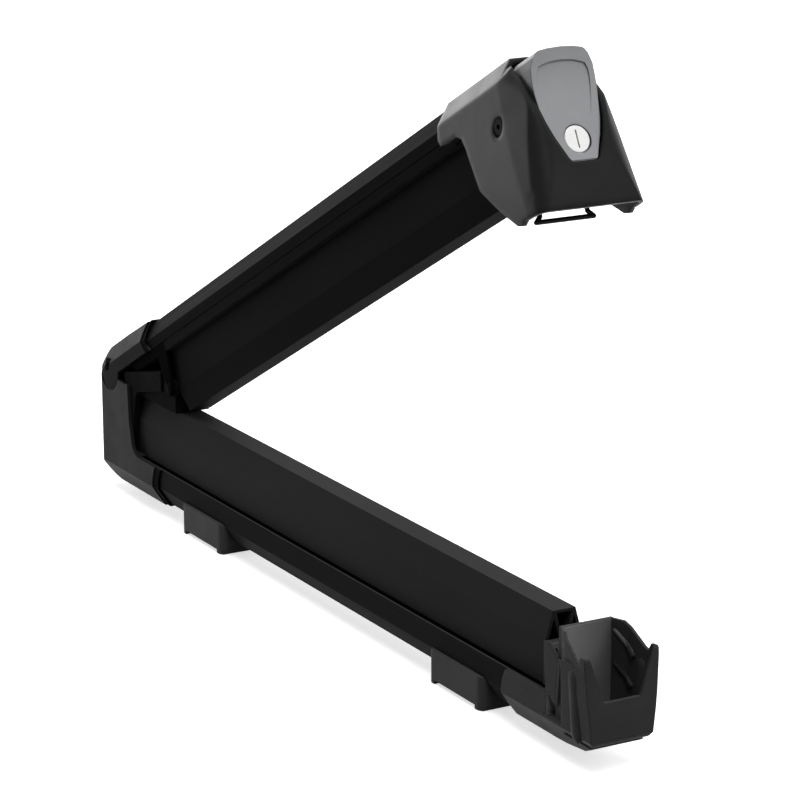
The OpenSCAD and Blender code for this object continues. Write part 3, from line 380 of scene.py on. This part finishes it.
bar("rib_upper", line((FRONT - 18.7, 52.9), (FRONT - 32.3, 64.5), 16, rib_line), RIB_HALF, RIB_DEPTH, 1,
    rib_highlight_nylon)
bar("rib_lower", line((FRONT - 20.1, 36.2), (FRONT - 32.3, 46.6), 14, rib_line), RIB_HALF, RIB_DEPTH, 1,
    low_rib)
bar("side_band", line((BAND_X, LOW + 8.5), (BAND_X, LOW + 49.5), 16, band_line), BAND_HALF, BAND_DEPTH, -1,
    catch_nylon)


# Floor and world: the camera and reflections see them white, diffuse light is dimmer towards the camera

WHITE = (1, 1, 1, 1)
FLOOR_HALF, FLOOR_Z = 30.0, -0.0002
FLOOR_TONE, FLOOR_ROUGH = 0.86, 0.9

# The floor's glow rises from its middle to its surroundings, so that it is even and keeps the shadow
GLOW = {"lo": 0.7, "hi": 2.2, "start": 0.66, "end": 1.0}

# What diffuse rays meet: the direction in which it dims, and from and to which level
FLOOR_DIMS = (0.85, -0.53, 0.0)
FLOOR_DIM = {"lo": -0.15, "hi": 0.85, "start": 0.36, "end": 0.05}
WORLD_DIMS = (0.62, -0.78, 0.0)
WORLD_DIM = {"lo": -0.2, "hi": 0.85, "start": 0.24, "end": 0.03}


def background_rays(tree):
    """1 on the rays that show the background: camera, glossy and transmission rays."""
    light = tree.nodes.new("ShaderNodeLightPath")
    value = light.outputs["Is Camera Ray"]
    for name in ("Is Glossy Ray", "Is Transmission Ray"):
        most = tree.nodes.new("ShaderNodeMath")
        most.operation = "MAXIMUM"
        tree.links.new(value, most.inputs[0])
        tree.links.new(light.outputs[name], most.inputs[1])
        value = most.outputs["Value"]
    return value


def along(tree, place, direction):
    """How far a place lies in a direction, or from the middle where the direction is None."""
    measure = tree.nodes.new("ShaderNodeVectorMath")
    measure.operation = "LENGTH" if direction is None else "DOT_PRODUCT"
    tree.links.new(place, measure.inputs[0])
    if direction is not None:
        measure.inputs[1].default_value = direction
    return measure.outputs["Value"]


def pick(tree, others, background):
    """The background's shader on the rays that show it, another one on all others."""
    choice = tree.nodes.new("ShaderNodeMixShader")
    tree.links.new(background_rays(tree), choice.inputs[0])
    tree.links.new(others, choice.inputs[1])
    tree.links.new(background, choice.inputs[2])
    return choice.outputs[0]


def floor_material():
    material = bpy.data.materials.new("floor_pale")
    material.use_nodes = True
    tree = material.node_tree
    place = tree.nodes.new("ShaderNodeTexCoord").outputs["Object"]
    pale = tree.nodes["Principled BSDF"]
    pale.inputs["Base Color"].default_value = (FLOOR_TONE, FLOOR_TONE, FLOOR_TONE, 1)
    pale.inputs["Roughness"].default_value = FLOOR_ROUGH
    glow = tree.nodes.new("ShaderNodeEmission")
    glow.inputs["Color"].default_value = WHITE
    tree.links.new(ranged(tree, along(tree, place, None), **GLOW), glow.inputs["Strength"])
    white = tree.nodes.new("ShaderNodeAddShader")
    tree.links.new(pale.outputs[0], white.inputs[0])
    tree.links.new(glow.outputs[0], white.inputs[1])
    tone = tree.nodes.new("ShaderNodeCombineXYZ")
    level = ranged(tree, along(tree, place, FLOOR_DIMS), **FLOOR_DIM)
    for axis in ("X", "Y", "Z"):
        tree.links.new(level, tone.inputs[axis])
    dim = tree.nodes.new("ShaderNodeBsdfDiffuse")
    tree.links.new(tone.outputs["Vector"], dim.inputs["Color"])
    surface = tree.nodes["Material Output"].inputs["Surface"]
    tree.links.new(pick(tree, dim.outputs[0], white.outputs[0]), surface)
    return material


def studio_world():
    world = bpy.data.worlds.new("studio")
    world.use_nodes = True
    tree = world.node_tree
    dim = tree.nodes["Background"]
    dim.inputs["Color"].default_value = WHITE
    place = tree.nodes.new("ShaderNodeTexCoord").outputs["Generated"]
    tree.links.new(ranged(tree, along(tree, place, WORLD_DIMS), **WORLD_DIM), dim.inputs["Strength"])
    white = tree.nodes.new("ShaderNodeBackground")
    white.inputs["Color"].default_value = WHITE
    white.inputs["Strength"].default_value = 1.0
    surface = tree.nodes["World Output"].inputs["Surface"]
    tree.links.new(pick(tree, dim.outputs[0], white.outputs[0]), surface)
    return world


corners = [(-FLOOR_HALF, -FLOOR_HALF, FLOOR_Z), (FLOOR_HALF, -FLOOR_HALF, FLOOR_Z),
           (FLOOR_HALF, FLOOR_HALF, FLOOR_Z), (-FLOOR_HALF, FLOOR_HALF, FLOOR_Z)]
floor = mesh_object("floor", corners, [(0, 1, 2, 3)], floor_material())
scene.world = studio_world()


# Lamps: soft rectangles that aim at the carrier's middle, sizes in metres and power in watts

AIM = Vector((0.0, 0.0, 0.15))


def area(name, place, width, height, power):
    data = bpy.data.lights.new(name, "AREA")
    data.shape = "RECTANGLE"
    data.size = width
    data.size_y = height
    data.energy = power
    obj = bpy.data.objects.new(name, data)
    scene.collection.objects.link(obj)
    obj.location = place
    obj.rotation_euler = (AIM - Vector(place)).to_track_quat("-Z", "Y").to_euler()


area("key_top", (-0.3, 0.1, 2.0), width=1.8, height=1.4, power=24)
area("back_left", (-2.2, 0.3, 0.55), width=1.0, height=1.3, power=12)
area("side_left", (-1.5, -1.3, 0.40), width=1.0, height=0.7, power=7)
area("back_fill", (-0.5, 1.9, 0.9), width=1.4, height=1.0, power=9)
area("front_top", (1.1, -0.35, 1.9), width=0.9, height=0.9, power=14)
area("front_right", (1.7, 1.0, 1.1), width=0.9, height=1.0, power=8)


# Camera at the photograph's angle: azimuth, elevation and roll, then aim and distance in metres

AZIMUTH, ELEVATION, ROLL = math.radians(60.62), math.radians(15.26), math.radians(-0.16)
TARGET = Vector((0.06397, 0.0, 0.14131))
DISTANCE = 1.77095
FOCAL_PX, FRAME_PX = 3199.9, 800.0
SENSOR_MM = 36.0

backward = Vector((math.sin(AZIMUTH) * math.cos(ELEVATION), -math.cos(AZIMUTH) * math.cos(ELEVATION),
                   math.sin(ELEVATION)))
camera_data = bpy.data.cameras.new("camera")
camera_data.sensor_width = SENSOR_MM
camera_data.sensor_fit = "HORIZONTAL"
camera_data.lens = SENSOR_MM * FOCAL_PX / FRAME_PX
camera = bpy.data.objects.new("camera", camera_data)
scene.collection.objects.link(camera)
camera.location = TARGET + backward * DISTANCE
camera.rotation_euler = backward.to_track_quat("Z", "Y").to_euler()
camera.rotation_euler.rotate_axis("Z", ROLL)
scene.camera = camera

scene.view_settings.view_transform = "Standard"
